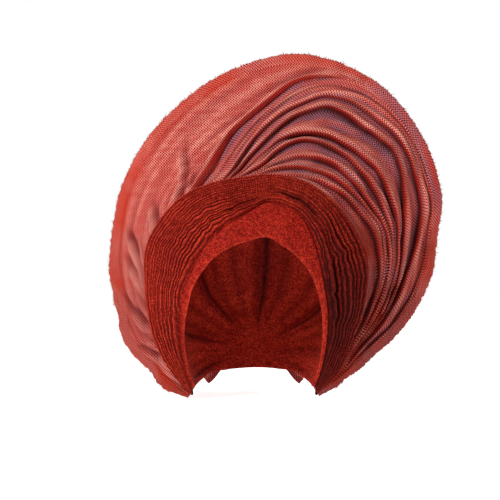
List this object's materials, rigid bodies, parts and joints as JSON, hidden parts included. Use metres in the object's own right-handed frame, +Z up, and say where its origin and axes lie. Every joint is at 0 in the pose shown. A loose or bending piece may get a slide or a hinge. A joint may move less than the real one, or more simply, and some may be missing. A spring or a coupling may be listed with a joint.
{
  "type": "tied gele head tie",
  "caption": "Stiff cloth head tie: crossed brow wraps, a ring of narrow pleats round the face and a wide asymmetric fan with long folds, tied at the nape.",
  "frame": {"origin": "inside the top of the crown, where the head's top bears on the cloth", "axes": "+Z up, the face looks along -Y, +X is the wearer's left and the right side as seen from the front"},
  "size_m": [0.3349, 0.21, 0.3461],
  "materials": {
    "plain_cloth": "plain red woven cloth, matt with a faint sparkle",
    "brow_cloth": "plain red woven cloth with fine sparkling thread",
    "pleat_cloth": "plain red woven cloth in narrow pleats, soft sheen",
    "shot_cloth": "stiff ribbed twill shot with salmon and purple thread, satin sheen",
    "selvedge": "plain red woven edge, frayed"
  },
  "bodies": {
    "root": {"crown_wrap": "plain_cloth", "brow_wrap_left": "brow_cloth", "brow_wrap_right": "brow_cloth", "pleated_band": "pleat_cloth", "fan": "shot_cloth", "rim_border": "selvedge", "tie_band_left": "plain_cloth", "tie_band_right": "plain_cloth", "knot": "plain_cloth", "knot_end_left": "shot_cloth", "knot_end_right": "shot_cloth"}
  },
  "joints": []
}
